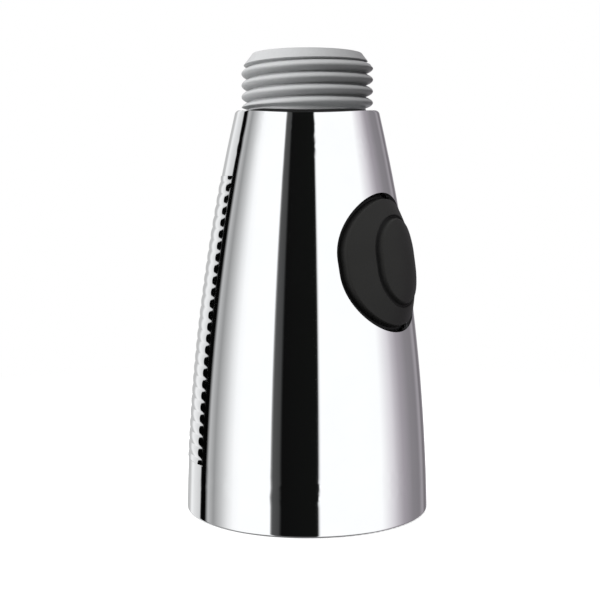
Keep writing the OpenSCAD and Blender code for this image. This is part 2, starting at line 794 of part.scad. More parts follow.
module spool_seals() {
  color([0.12, 0.12, 0.12])
  on_push_axis() for (p = [disc_back, disc_front - disc_seal_t]) difference() {
    rod(disc_r, p, p + disc_seal_t);
    rod(spool_r + socket_play, p - sink, p + disc_seal_t + sink);
  }
}

module button_spring() {
  color([0.7, 0.71, 0.72])
  on_push_axis() translate([chamber_back + spring_gap, 0, 0]) rotate([0, 90, 0])
    coil(button_coil_r, button_wire_r, spring_plate_p - chamber_back - 2 * spring_gap, 5);
}

// Spray face

// the same places for jets, holes and nozzles
module at_nozzles() {
  for (i = [0:nozzle_n - 1]) {
    rotate([0, 0, 360 * i / nozzle_n]) translate([nozzle_r1, 0]) children();
    rotate([0, 0, 360 * (i + 0.5) / nozzle_n]) translate([nozzle_r2, 0]) children();
  }
}

module distributor_plate() {
  color([0.5, 0.52, 0.54])
  translate([0, 0, plate_z]) linear_extrude(height = plate_t) difference() {
    circle(r = ring_r1);
    circle(r = ring_r0);
    at_nozzles() circle(r = plate_hole_r, $fn = 24);
  }
}

module nozzle_mat() {
  tip_z = face_z - nozzle_rise;
  color([0.62, 0.64, 0.66])
  union() {
    translate([0, 0, mat_z]) linear_extrude(height = mat_t) difference() {
      circle(r = ring_r1);
      circle(r = ring_r0);
      at_nozzles() circle(r = jet_d / 2, $fn = 24);
    }
    translate([0, 0, tip_z]) linear_extrude(height = mat_z - tip_z + eps) at_nozzles() difference() {
      circle(r = nozzle_d / 2, $fn = 32);
      circle(r = jet_d / 2, $fn = 24);
    }
  }
}

module spray_face() {
  color([0.42, 0.43, 0.44])
  union() {
    translate([0, 0, face_z]) linear_extrude(height = face_t) difference() {
      circle(r = collar_r1);
      circle(r = sleeve_r);
      at_nozzles() circle(r = nozzle_d / 2 + nozzle_gap, $fn = 32);
    }
    tube(collar_r1, collar_r0, face_z + sink, ledge_z - fit);
    tube(sleeve_r + sleeve_wall, sleeve_r, face_z + sink, throat_z - seat_gap);
  }
}

module face_seal() {
  color([0.1, 0.1, 0.1])
  translate([0, 0, ledge_z - skirt_seal_drop]) seal_ring(skirt_r - skirt_groove, collar_r0);
}

// Aerator

// square holes on a square grid that stay rim inside a disc of radius r
module square_holes(r, rim, step, hole) {
  n = floor(r / step);
  for (i = [-n:n], j = [-n:n])
    if (norm([i, j]) * step < r - rim) translate([i * step, j * step]) square(hole, center = true);
}

module aerator_housing() {
  color([0.8, 0.81, 0.82])
  difference() {
    translate([0, 0, aerator_z]) cylinder(r = aerator_r, h = aerator_h);
    translate([0, 0, aerator_z + aerator_floor]) cylinder(r = aerator_r - aerator_wall, h = 2 * aerator_h);
    cylinder(r = aerator_r - aerator_wall - aerator_lip, h = 2 * aerator_h);
    for (a = [0:90:270]) rotate([0, 0, a])
      translate([aerator_r - notch_d, -notch_w / 2, 0]) cube([2 * notch_d, notch_w, aerator_z + notch_d]);
  }
}

module aerator_grid() {
  color([0.9, 0.9, 0.88])
  translate([0, 0, grid_z]) linear_extrude(height = grid_t) difference() {
    circle(r = stack_r);
    square_holes(stack_r, grid_t, grid_step, grid_step - grid_bar);
  }
}

module aerator_screen() {
  color([0.62, 0.64, 0.65])
  translate([0, 0, screen_z]) rotate([0, 0, 45]) linear_extrude(height = screen_t) difference() {
    circle(r = stack_r);
    square_holes(stack_r, screen_step - screen_t, screen_step, screen_step - screen_wire);
  }
}

module aerator_diffuser() {
  color([0.9, 0.9, 0.88])
  difference() {
    translate([0, 0, diffuser_z]) cylinder(r = stack_r, h = diffuser_h);
    translate([0, 0, diffuser_z + diffuser_floor]) cylinder(r = stack_r - diffuser_wall, h = diffuser_h);
    for (i = [0:diffuser_n - 1]) rotate([0, 0, 360 * i / diffuser_n]) {
      translate([diffuser_r1, 0, 0]) cylinder(r = diffuser_hole_r, h = 2 * diffuser_z, $fn = 24);
      rotate([0, 0, 180 / diffuser_n]) translate([diffuser_r2, 0, 0])
        cylinder(r = diffuser_hole_r, h = 2 * diffuser_z, $fn = 24);
    }
  }
}

module aerator_seal() {
  color([0.1, 0.1, 0.1])
  tube(aerator_r + seat_gap, aerator_r - aerator_seal_w, aerator_seal_z, aerator_seal_z + aerator_seal_t);
}

shell();
inlet_connector();
connector_seal();
strainer_ring();
strainer_mesh();
check_valve_body();
check_valve_seal();
check_valve_poppet();
check_valve_spring();
water_body();
valve_cage();
cage_seal();
stem_seal();
button_carrier();
carrier_screws();
button_boot();
button_plunger();
diverter_spool();
spool_seals();
button_spring();
distributor_plate();
nozzle_mat();
spray_face();
face_seal();
aerator_housing();
aerator_grid();
aerator_screen();
aerator_diffuser();
aerator_seal();
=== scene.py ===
"""Pull-out tap spray head: chrome-plated shell, grey threaded hose inlet, black rubber button."""
import math

import bpy
import numpy as np
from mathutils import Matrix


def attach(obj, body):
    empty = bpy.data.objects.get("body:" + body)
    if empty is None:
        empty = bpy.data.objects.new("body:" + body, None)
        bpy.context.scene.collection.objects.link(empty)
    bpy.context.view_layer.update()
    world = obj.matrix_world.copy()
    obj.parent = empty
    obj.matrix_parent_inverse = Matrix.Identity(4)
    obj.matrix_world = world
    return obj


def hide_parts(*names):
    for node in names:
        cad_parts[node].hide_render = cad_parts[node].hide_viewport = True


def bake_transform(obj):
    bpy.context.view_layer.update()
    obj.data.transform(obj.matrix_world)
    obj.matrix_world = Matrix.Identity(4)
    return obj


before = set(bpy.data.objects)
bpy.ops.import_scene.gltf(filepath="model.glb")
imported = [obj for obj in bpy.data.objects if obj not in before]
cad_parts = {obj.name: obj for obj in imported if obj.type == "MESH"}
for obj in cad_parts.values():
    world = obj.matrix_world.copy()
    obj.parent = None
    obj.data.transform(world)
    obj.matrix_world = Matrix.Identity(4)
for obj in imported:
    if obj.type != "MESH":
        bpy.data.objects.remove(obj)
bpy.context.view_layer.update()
MM = 0.001

# sizes of the part's source, in millimetres and degrees
BASE_R, TOP_R, BODY_H, FLANK_DROP = 19.6, 11.45, 64.0, 7.0
SHELL_WALL, RIM_DIP = 1.6, 1.0
BUTTON_TURN, BUTTON_Z = 54.0, 40.4
GRIP_Z, GRIP_PITCH, GRIP_N, GRIP_HALF = 9.6, 1.8, 24, 64.0
OVAL_R, OVAL_E, BOOT_GAP = 9.8, 1.0, 0.2
DOME_H, PAD_FALL, PAD_STEP, CREASE_W, SKIRT_W = 2.9, 0.93, 0.35, 0.35, 4.1
BOOT_WALL, BOOT_FLANGE, BOOT_GRIP = 1.1, 1.0, 1.2
THREAD_R, THREAD_PITCH, THREAD_DEPTH = 10.4775, 1.814, 1.162
INLET_H, INLET_GAP, LEAD_H, LEAD_W = 9.0, 0.4, 2.3, 1.78
SPIGOT_R, SPIGOT_FOOT, SEAL_Z, BORE_R, BORE_LEDGE = 7.5155, 53.6, 55.4, 5.6155, 0.8
VALVE_FOOT, STRAINER_R, STRAINER_DEPTH = 57.9, 7.4155, 2.2

# the flank is one arc through the foot and the lip, and the rim is cut by a lying cylinder
FLANK_CX = (BASE_R + TOP_R) / 2 - (BODY_H**2 + 2 * BODY_H * FLANK_DROP) / (2 * (BASE_R - TOP_R))
FLANK_R = math.hypot(BASE_R - FLANK_CX, FLANK_DROP)
RIM_R = (TOP_R**2 + RIM_DIP**2) / (2 * RIM_DIP)

# the neck of the inlet, seen where the rim dips, and the collar above it
NECK_Z0, NECK_Z1 = BODY_H - RIM_DIP + 0.02, BODY_H - RIM_DIP + 0.62
NECK_R, COLLAR_R, COLLAR_Z = 8.4, 9.42, BODY_H + INLET_GAP - 0.2
# corner rounding of the inlet, and the step beside a sharp corner that keeps its shading crisp
BEVEL, NICK = 0.08, 0.02

# the rubber's outline, its pad, the crease round the pad and the channel along the rim
BOOT_R = OVAL_R - BOOT_GAP
PAD_R = BOOT_R - SKIRT_W
PAD_NARROW, NARROW_IN, NARROW_OUT = 0.9, 4.6, 5.6
CREASE_DEEP, CREASE_HALF = 0.45, 0.3
CHANNEL_DEEP, CHANNEL_WIDE, CHANNEL_SLOPE = 1.1, 0.85, 0.2

# the visible ribs of the grip: height, how far they sink into the shell, and their reach past the grooves
RIB_H, RIB_SUNK, RIB_WALL, RIB_REACH = 0.14, 0.015, 0.3, 6.4

# where the two springs begin and end, in millimetres along the button's push axis and up the head's axis
BUTTON_SPRING_FLEX = (-9.2, -3.1)
VALVE_SPRING_FLEX = (61.2, 66.1)

# the camera: 69 mm lens, a little above the middle and tipped down to it
CAMERA_AT, CAMERA_TIP, LENS, SENSOR = (-1.15, -185.8, 50.4), 5.13, 69.0, 36.0


def flank(z):
    """Radius of the shell at height z: one circular arc of radius FLANK_R."""
    return FLANK_CX + np.sqrt(FLANK_R**2 - (z + FLANK_DROP) ** 2)


# the push axis stands square to the flank
TILT = math.asin((BUTTON_Z + FLANK_DROP) / FLANK_R)
PUSH_Z = BUTTON_Z - float(flank(BUTTON_Z)) * math.tan(TILT)
AZ = math.radians(BUTTON_TURN - 90)
PUSH = np.array([math.cos(TILT) * math.cos(AZ), math.cos(TILT) * math.sin(AZ), math.sin(TILT)])
ACROSS = np.array([-math.sin(AZ), math.cos(AZ), 0.0])
ALONG = np.array([-math.sin(TILT) * math.cos(AZ), -math.sin(TILT) * math.sin(AZ), math.cos(TILT)])
PUSH_AT = np.array([0.0, 0.0, PUSH_Z])


def push_point(p, u, v):
    """Point p out along the push axis, u across and v along the flank, in millimetres."""
    return PUSH_AT + p[..., None] * PUSH + u[..., None] * ACROSS + v[..., None] * ALONG


def on_push_axis(p):
    """Point p millimetres out along the push axis, in metres."""
    return tuple(push_point(np.array([p]), np.zeros(1), np.zeros(1))[0] * MM)


cam_data = bpy.data.cameras.new("camera")
cam_data.lens = LENS
cam_data.sensor_width = SENSOR
cam_data.clip_start, cam_data.clip_end = 0.01, 20.0
camera = bpy.data.objects.new("camera", cam_data)
camera.location = [c * MM for c in CAMERA_AT]
camera.rotation_euler = (math.radians(90 - CAMERA_TIP), 0, 0)
bpy.context.collection.objects.link(camera)
scene = bpy.context.scene
scene.camera = camera
scene.view_settings.view_transform = "Standard"


def tint(code):
    """Linear colour from an sRGB hex code."""
    rgb = [int(code[i : i + 2], 16) / 255 for i in (1, 3, 5)]
    return [c / 12.92 if c <= 0.04045 else ((c + 0.055) / 1.055) ** 2.4 for c in rgb] + [1.0]


def add(tree, kind, links=(), **settings):
    """One node with its settings and links: a link is (socket of this node, other node, its socket)."""
    made = tree.nodes.new(kind)
    for key, value in settings.items():
        if key.startswith("in_"):
            socket = key[3:]
            made.inputs[int(socket) if socket.isdigit() else socket.replace("_", " ")].default_value = value
        else:
            setattr(made, key, value)
    for mine, other, theirs in links:
        tree.links.new(other.outputs[theirs], made.inputs[mine])
    return made


def blend_colour(tree, links, **colours):
    """Colour mix node; the colours a and b are plain ones for its two sides."""
    made = add(tree, "ShaderNodeMix", links, data_type="RGBA")
    for side, colour in colours.items():
        made.inputs[{"a": 6, "b": 7}[side]].default_value = colour
    return made


def finish(name, colour, metallic, roughness, grain_mm, grain_depth, spread, second, **more):
    """Surface with a grain of grain_mm: noise lifts the surface and moves roughness by spread and colour to second."""
    broad_mm = 9
    mat = bpy.data.materials.new(name)
    mat.use_nodes = True
    tree = mat.node_tree
    shader = tree.nodes["Principled BSDF"]
    shader.inputs["Metallic"].default_value = metallic
    for key, value in more.items():
        shader.inputs[key.replace("_", " ")].default_value = value
    where = add(tree, "ShaderNodeTexCoord")
    noise = add(tree, "ShaderNodeTexNoise", [("Vector", where, "Object")], in_Scale=1 / (grain_mm * MM), in_Detail=3.0)
    broad = add(tree, "ShaderNodeTexNoise", [("Vector", where, "Object")], in_Scale=1 / (broad_mm * MM), in_Detail=2.0)
    rough = add(tree, "ShaderNodeMapRange", [("Value", broad, "Fac")], in_1=0.3, in_2=0.7,
                in_3=roughness - spread, in_4=roughness + spread)
    tree.links.new(rough.outputs["Result"], shader.inputs["Roughness"])
    mix = blend_colour(tree, [(0, noise, "Fac")], a=tint(colour), b=tint(second))
    tree.links.new(mix.outputs[2], shader.inputs["Base Color"])
    bump = add(tree, "ShaderNodeBump", [("Height", noise, "Fac")], in_Strength=1.0, in_Distance=grain_depth * MM)
    tree.links.new(bump.outputs["Normal"], shader.inputs["Normal"])
    return mat


def paint_groove_shade(mat, code):
    """Painted shade: take the colour to code where the mesh's own groove value is 1, so that the grooves look as if
    they hold no light.
    """
    tree = mat.node_tree
    base = tree.nodes["Principled BSDF"].inputs["Base Color"]
    groove = add(tree, "ShaderNodeAttribute", attribute_name="groove")
    dark = blend_colour(tree, [(0, groove, "Fac"), (6, base.links[0].from_node, 2)], b=tint(code))
    tree.links.new(dark.outputs[2], base)


# nickel and chrome plated on moulded ABS: a mirror with the faintest moulded waviness
chrome = finish("chrome_on_abs", "#f4f5f6", 1.0, 0.035, 6.0, 0.002, 0.01, "#eff1f3")
# acetal moulding, light grey: soft satin from the mould
acetal = finish("grey_acetal", "#c6c7c8", 0.0, 0.36, 0.5, 0.01, 0.05, "#bcbdbe")
# EPDM rubber, moulded satin black: broad dull highlight, and nearly black grooves that are painted shade
rubber = finish("black_epdm", "#2d2d2c", 0.0, 0.5, 0.18, 0.012, 0.05, "#282827", Specular_IOR_Level=0.25)
paint_groove_shade(rubber, "#050505")
# EPDM seal rings: dull black
seal = finish("seal_rubber", "#1b1b1b", 0.0, 0.6, 0.2, 0.01, 0.05, "#161616")
# stainless wire and screws, drawn: grey metal with a soft shine
steel = finish("stainless_wire", "#b4b6b8", 1.0, 0.3, 0.3, 0.003, 0.05, "#a9abad")
# natural acetal: white and slightly waxy
natural = finish("natural_acetal", "#e4e3dc", 0.0, 0.42, 0.5, 0.01, 0.05, "#dcdbd3")
# dyed polypropylene of the strainer's frame: clear blue through the open end
blue = finish("blue_polypropylene", "#2f557f", 0.0, 0.4, 0.4, 0.01, 0.05, "#2a4d74")
# dyed acetal of the check valve: a red spot behind the mesh
red = finish("red_acetal", "#b43a2c", 0.0, 0.4, 0.4, 0.01, 0.05, "#a63427")
# polysulfone of the diverter: warm brown
amber = finish("brown_polysulfone", "#a06a2a", 0.0, 0.35, 0.5, 0.01, 0.05, "#956226")
# glass-filled nylon: mid grey and a little mottled
nylon = finish("grey_nylon", "#7a7d7f", 0.0, 0.48, 0.4, 0.015, 0.06, "#707375")
# ABS with a fine spark-eroded grain: matt dark grey
face = finish("dark_abs", "#4b4d4f", 0.0, 0.45, 0.25, 0.02, 0.05, "#444648")
# silicone rubber nozzles: soft light grey
silicone = finish("grey_silicone", "#96999c", 0.0, 0.5, 0.3, 0.01, 0.05, "#8d9093")
# satin nickel plate on the aerator's housing: a blurred mirror
satin = finish("satin_nickel", "#c9cbcd", 1.0, 0.22, 0.6, 0.002, 0.04, "#c2c4c6")

for node, mat in {
    "shell": chrome, "inlet_connector": acetal, "connector_seal": seal, "strainer_ring": blue,
    "strainer_mesh": steel, "check_valve_body": natural, "check_valve_seal": seal,
    "check_valve_poppet": red, "check_valve_spring": steel, "water_body": nylon, "valve_cage": natural,
    "cage_seal": seal, "stem_seal": seal, "button_carrier": nylon, "carrier_screws": steel,
    "button_boot": rubber, "button_plunger": natural, "diverter_spool": amber, "spool_seals": seal,
    "button_spring": steel, "distributor_plate": nylon, "nozzle_mat": silicone, "spray_face": face,
    "face_seal": seal, "aerator_housing": satin, "aerator_grid": natural, "aerator_screen": steel,
    "aerator_diffuser": natural, "aerator_seal": seal,
}.items():
    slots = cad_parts[node].material_slots
    if slots:
        for s in slots:
            s.material = mat
    else:
        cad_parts[node].data.materials.append(mat)


def solid(name, verts, faces, mat):
    """Piece from corner points in millimetres and faces, shaded smooth."""
    mesh = bpy.data.meshes.new(name)
    mesh.from_pydata((verts * MM).tolist(), [], faces)
    mesh.polygons.foreach_set("use_smooth", np.ones(len(mesh.polygons), bool))
    mesh.update()
    mesh.materials.append(mat)
    obj = bpy.data.objects.new(name, mesh)
    bpy.context.collection.objects.link(obj)
    return obj


def skin(name, rings, mat, poles=None):
    """Closed mesh over rings, an array (rings, points, 3) in millimetres.

    Without poles the last ring joins the first; with poles a fan closes each end.
    """
    n, m, _ = rings.shape
    verts = rings.reshape(-1, 3)
    i, j = np.meshgrid(np.arange(n if poles is None else n - 1), np.arange(m), indexing="ij")
    a, b = i * m + j, i * m + (j + 1) % m
    c, d = ((i + 1) % n) * m + (j + 1) % m, ((i + 1) % n) * m + j
    faces = np.stack([a, d, c, b], -1).reshape(-1, 4).tolist()
    if poles is not None:
        verts = np.vstack([verts, poles])
        k = np.arange(m)
        faces += np.stack([np.full(m, n * m), k, (k + 1) % m], -1).tolist()
        faces += np.stack([np.full(m, n * m + 1), (n - 1) * m + (k + 1) % m, (n - 1) * m + k], -1).tolist()
    return solid(name, verts, faces, mat)


def round_the_axis(r, z, a):
    """Points at radius r, height z and angle a about the head's own axis."""
    return np.stack([r * np.cos(a), r * np.sin(a), z], -1)


def thread_rise(turn):
    """Share of the thread's depth at a place along the turn.

    1.15 (1 - x^2)^0.85 - 0.15, with x 0 at the crest and 1 at the root: a rounded bead over a narrow root.
    """
    x = np.abs((turn % 1.0) - 0.5) * 2
    return 1.15 * (1 - x * x) ** 0.85 - 0.15


def rim_climb(a):
    """How far the shell's rim has climbed from its dip at angle a, x^2 / 2 R, kept under the collar's top."""
    return np.minimum((COLLAR_R * np.cos(a)) ** 2 / (2 * RIM_R), COLLAR_Z - 0.21 - NECK_Z1)


def threaded_inlet():
    """The grey inlet: a profile turned round the axis, in the thread's band raised by the helix.

    There r = root + depth * rise(z / pitch - angle / 360), faded in at the foot, and never outside the
    tapered lead-in at the open end. The neck's top follows the shell's rim.
    """
    foot, top = BODY_H + INLET_GAP, BODY_H + INLET_H
    root = THREAD_R - THREAD_DEPTH
    groove_z0, groove_z1, groove = SEAL_Z - 0.62, SEAL_Z + 0.62, 1.0
    flange_z, seat_z = NECK_Z0 - 0.25, top - STRAINER_DEPTH
    fade_h, rows, steps = 0.35, 240, 216
    spigot = [(BORE_R - BORE_LEDGE, SPIGOT_FOOT), (SPIGOT_R - BEVEL, SPIGOT_FOOT), (SPIGOT_R, SPIGOT_FOOT + BEVEL),
              (SPIGOT_R, groove_z0 - NICK), (SPIGOT_R - NICK, groove_z0), (SPIGOT_R - groove, groove_z0),
              (SPIGOT_R - groove, groove_z1), (SPIGOT_R - NICK, groove_z1), (SPIGOT_R, groove_z1 + NICK),
              (SPIGOT_R, flange_z), (root - BEVEL, flange_z), (root, flange_z + 0.05), (root, NECK_Z0 - NICK),
              (root - NICK, NECK_Z0), (NECK_R, NECK_Z0)]
    neck = [(NECK_R, NECK_Z1), (COLLAR_R - BEVEL, NECK_Z1), (COLLAR_R - NICK, NECK_Z1 + NICK),
            (COLLAR_R, NECK_Z1 + BEVEL)]
    collar = [(COLLAR_R, COLLAR_Z - 0.12), (COLLAR_R - 0.03, COLLAR_Z - 0.05), (root + NICK, COLLAR_Z)]
    mouth = [(STRAINER_R + BEVEL, top), (STRAINER_R, top - BEVEL), (STRAINER_R, seat_z + NICK),
             (STRAINER_R - NICK, seat_z), (BORE_R + NICK, seat_z), (BORE_R, seat_z - NICK),
             (BORE_R, VALVE_FOOT + NICK), (BORE_R - NICK, VALVE_FOOT),
             (BORE_R - BORE_LEDGE + NICK, VALVE_FOOT), (BORE_R - BORE_LEDGE, VALVE_FOOT - NICK)]
    low = spigot + neck + collar
    band = np.linspace(COLLAR_Z + 0.01, top - NICK, rows)
    r = np.array([q[0] for q in low] + [root] * rows + [q[0] for q in mouth])
    z = np.array([q[1] for q in low] + band.tolist() + [q[1] for q in mouth])
    a = np.linspace(0, 2 * np.pi, steps, endpoint=False)
    rr = np.repeat(r[:, None], steps, 1)
    zz = band[:, None]
    fade = np.clip((zz - COLLAR_Z) / fade_h, 0, 1)
    turned = root + THREAD_DEPTH * thread_rise((zz - foot) / THREAD_PITCH - a[None] / (2 * np.pi)) * fade
    lead_in = THREAD_R - LEAD_W * np.clip((zz - (top - LEAD_H)) / LEAD_H, 0, 1)
    rr[len(low) : len(low) + rows] = np.minimum(turned, lead_in)
    up = np.repeat(z[:, None], steps, 1)
    up[len(spigot) : len(spigot) + len(neck)] += rim_climb(a)
    return skin("threaded_inlet", round_the_axis(rr, up, a)[::-1], acetal)


def neck_shade_ring():
    """Black ring in the gap under the collar, a dark piece that stands in for the shade in that gap: a rounded
    rectangle turned round the axis.

    Its top follows the shell's rim.
    """
    inside, outside, edge, play, steps = 8.45, 9.36, 0.12, 0.01, 144
    b = np.linspace(0, 2 * np.pi, 24, endpoint=False)
    half_r, half_z = (outside - inside) / 2 - edge, (NECK_Z1 - NECK_Z0) / 2 - edge - play
    r = (inside + outside) / 2 + half_r * np.sign(np.cos(b)) + edge * np.cos(b)
    z = (NECK_Z0 + NECK_Z1) / 2 + half_z * np.sign(np.sin(b)) + edge * np.sin(b)
    a = np.linspace(0, 2 * np.pi, steps, endpoint=False)[:, None]
    up = z[None] + rim_climb(a) * (np.sin(b) > 0)
    return skin("neck_shade_ring", round_the_axis(r, up, a)[::-1], seal)


def flank_p(u, v, inset):
    """Distance out along the push axis of the flank inset by so much, at u across and v along; by fixed point."""
    p = np.full_like(u, 16.0)
    for _ in range(6):
        x = np.sqrt((flank(PUSH_Z + p * math.sin(TILT) + v * math.cos(TILT)) - inset) ** 2 - u**2)
        p = (x + v * math.sin(TILT)) / math.cos(TILT)
    return p


def cover_height(r, a):
    """Height of the rubber over the flank at oval radius r and angle a, and how far in a groove it lies, 0 to 1, which
    sets the painted shade in the rubber's colour.

    A domed pad, a crease round it, a skirt sloping to the rim and a channel along the rim. The pad is narrower
    than the oval: q = r + PAD_NARROW cos(a)^2 of a hat that is 1 at the pad's edge stands for r.
    """
    hat = np.clip(np.minimum(r / NARROW_IN, (BOOT_R - r) / (BOOT_R - NARROW_OUT)), 0, 1)
    q = r + PAD_NARROW * np.cos(a) ** 2 * hat
    pad = DOME_H - PAD_FALL * (q / PAD_R) ** 2
    top = DOME_H - PAD_FALL - PAD_STEP
    skirt = top * (BOOT_R - q) / (SKIRT_W - CREASE_W)
    share = np.clip((q - PAD_R) / CREASE_W, 0, 1)
    crease = np.exp(-(((q - PAD_R - CREASE_HALF) / CREASE_HALF) ** 4))
    channel = np.clip((r - BOOT_R + CHANNEL_WIDE) / CHANNEL_SLOPE, 0, 1)
    height = np.where(q <= PAD_R, pad, pad * (1 - share) + skirt * share)
    return height - CREASE_DEEP * crease - CHANNEL_DEEP * channel, np.maximum(crease, channel)


def rubber_button():
    """The boot: rings of the button's oval, each on the flank inset by so much and lifted by cover_height."""
    under = SHELL_WALL + 0.15
    below = under + BOOT_FLANGE
    flange_r = OVAL_R + BOOT_GRIP
    bevel, proud, steps = 0.05, 0.02, 144
    # rings over the top, closest at the crease and the channel
    over = np.concatenate([np.linspace(0.3, 4.1, 12), np.linspace(4.2, 6.6, 34), np.linspace(6.7, BOOT_R - 0.95, 8),
                           np.linspace(BOOT_R - 0.88, BOOT_R - 0.3, 10)])
    # down through the opening and round the flange: ring radius, inset from the flank, height over it
    rim = [(BOOT_R - 0.12, 0, -CHANNEL_DEEP), (BOOT_R - 0.04, 0, -CHANNEL_DEEP - bevel), (BOOT_R, 1.2, 0),
           (BOOT_R, under - bevel, 0), (BOOT_R + bevel, under, 0), (flange_r - bevel, under, 0),
           (flange_r, under + bevel, 0), (flange_r, below - bevel, 0),
           (flange_r - bevel, below, 0), (OVAL_R - 1.2, below, 0)]
    inner = np.linspace(8.3, 0.4, 24)
    a = (np.arange(steps) + 0.5) / steps * 2 * np.pi
    r = np.concatenate([over, [q[0] for q in rim], inner])[:, None]
    height, groove_shade_share = cover_height(r, a[None])
    inset = np.zeros_like(r)
    inset[len(over) : -len(inner), 0] = [q[1] for q in rim]
    height[len(over) : -len(inner)] = np.array([q[2] for q in rim])[:, None]
    height[: len(over)] += proud
    height[-len(inner) :] -= BOOT_WALL
    u = r * np.cos(a)
    v = r * np.sin(a) + OVAL_E * np.minimum(1, r / 3) * np.sign(np.sin(a))
    p = flank_p(u, v, inset) + height
    tip = float(flank_p(np.zeros(1), np.zeros(1), 0.0)[0]) + DOME_H
    ends = push_point(np.array([tip + proud, tip - BOOT_WALL]), np.zeros(2), np.zeros(2))
    obj = skin("rubber_button", push_point(p, u, v), rubber, ends)
    # painted shade: the groove share is stored on the mesh to darken the crease and the channel
    shade = obj.data.attributes.new("groove", "FLOAT", "POINT")
    shade.data.foreach_set("value", np.append(groove_shade_share.ravel(), [0, 0]).astype(np.float32))
    return obj


def grip_ribs():
    """Shallow chrome ribs over the finger grip, one skin carried round the flank and closed just inside it.

    r = flank(z) - RIB_SUNK + RIB_H wave(z) share(turn). The wave is (0.5 - 0.5 cos)^0.45 of a pitch, flat-topped,
    0 at a groove and 1 midway between two. Near each end the share grows as 1 / cos(turn) - 1 does, the flank's
    own tangent, so that a rib stays flat to the eye there and goes on showing what its front end shows.
    """
    low, high = GRIP_Z - GRIP_PITCH / 2, GRIP_Z + GRIP_PITCH * GRIP_N + GRIP_PITCH / 2
    z = np.linspace(low, high, 24 * (GRIP_N + 1) + 1)[None, :]
    sweep = 2 * (GRIP_HALF + RIB_REACH)
    ends = np.arange(0, 9.6, 0.5)
    turn = np.radians(np.concatenate([ends, np.linspace(10, sweep - 10, 36), sweep - ends[::-1]]))[:, None]
    near = np.minimum(np.minimum(turn, turn[-1] - turn), 0.3)
    share = np.clip(flank(z) * (1 / np.cos(near) - 1) / RIB_H, 0, 1)
    wave = (0.5 - 0.5 * np.cos(2 * np.pi * (z - GRIP_Z) / GRIP_PITCH)) ** 0.45
    outer = flank(z) - RIB_SUNK + RIB_H * wave * share
    inner = flank(z) - RIB_WALL + 0 * turn
    r = np.concatenate([outer, inner[:, ::-1]], 1)
    up = np.concatenate([z, z[:, ::-1]], 1) + 0 * turn
    way = np.radians(BUTTON_TURN + 90 - GRIP_HALF - RIB_REACH) + turn
    steps, loop = r.shape
    i, j = np.meshgrid(np.arange(steps - 1), np.arange(loop), indexing="ij")
    k = (j + 1) % loop
    sides = np.stack([i * loop + j, (i + 1) * loop + j, (i + 1) * loop + k, i * loop + k], -1).reshape(-1, 4)
    j = np.arange(loop // 2 - 1)
    cap = np.stack([j, j + 1, loop - 2 - j, loop - 1 - j], -1)
    faces = np.concatenate([sides, cap, cap[:, ::-1] + (steps - 1) * loop])
    return solid("grip_ribs", round_the_axis(r, up, way).reshape(-1, 3), faces.tolist(), chrome)


def flexing_spring(node, body, fixed, moving):
    """Copy of a steel spring with its loose triangles merged, shown in place of the original, which is hidden."""
    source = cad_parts[node]
    mesh = source.data
    spots = np.empty(3 * len(mesh.vertices))
    mesh.vertices.foreach_get("co", spots)
    corners = np.empty(len(mesh.loops), dtype=np.int64)
    mesh.loops.foreach_get("vertex_index", corners)
    placed = np.array(source.matrix_world)
    spots = spots.reshape(-1, 3)[corners] @ placed[:3, :3].T + placed[:3, 3]
    verts, index = np.unique(np.round(spots / MM, 5), axis=0, return_inverse=True)
    spring = solid(node + "_flexing", verts, index.reshape(-1, 3).tolist(), steel)
    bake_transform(spring)
    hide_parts(node)


inlet = threaded_inlet()
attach(grip_ribs(), "head")
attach(inlet, "head")
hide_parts("inlet_connector")
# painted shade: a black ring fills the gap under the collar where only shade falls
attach(neck_shade_ring(), "head")

button = rubber_button()
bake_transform(button)
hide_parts("button_boot")
flexing_spring("button_spring", "button", *[on_push_axis(p) for p in BUTTON_SPRING_FLEX])
flexing_spring("check_valve_spring", "check_valve", *[(0.0, 0.0, z * MM) for z in VALVE_SPRING_FLEX])

# what a mirror sees round the head, by angle from the camera's side in degrees: soft boxes with greys between
# them, and two black flags, a thin one on the left and a wide one with a grey edge in front
STUDIO = [(-176, "#b9b9b9"), (-152, "#b9b9b9"), (-144, "#eeeeee"), (-135, "#dddddd"), (-122.5, "#cccccc"),
          (-120.8, "#060606"), (-112.2, "#020202"), (-107.5, "#b8b8b8"), (-99, "#949494"), (-88, "#c2c2c2"),
          (-80, "#e6e6e6"), (-73, "#fafafa"), (-66, "#ffffff"), (-35, "#ffffff"), (-33.5, "#525252"),
          (-26.5, "#424242"), (-24.5, "#0e0e0e"), (9.8, "#111211"), (11.8, "#ffffff"), (74, "#fefefe"),
          (88, "#d9d5d9"), (96, "#bbb6bb"), (104, "#9f999f"), (120, "#848084"), (134, "#7e7a7e"),
          (144, "#9b969b"), (152, "#6e6a6e"), (160, "#807b80"), (168, "#aaa6aa"), (176, "#d7d5d7")]
# gain of those colours, and what lies over and under them: share of straight up at which it starts and is full
GAIN = (1.12, 1.12, 1.12, 1)
CEILING, CEILING_FROM, CEILING_FULL = (0.8, 0.8, 0.8, 1), 0.62, 0.8
GROUND, GROUND_FROM, GROUND_FULL = (0.16, 0.16, 0.16, 1), -0.62, -0.8
# soft daylight from the upper left for everything that isn't a mirror
DAYLIGHT_FROM, DAYLIGHT_LEAST, DAYLIGHT_MOST = (-0.82, -0.2, 0.53), 0.02, 0.95
WHITE = (1, 1, 1, 1)


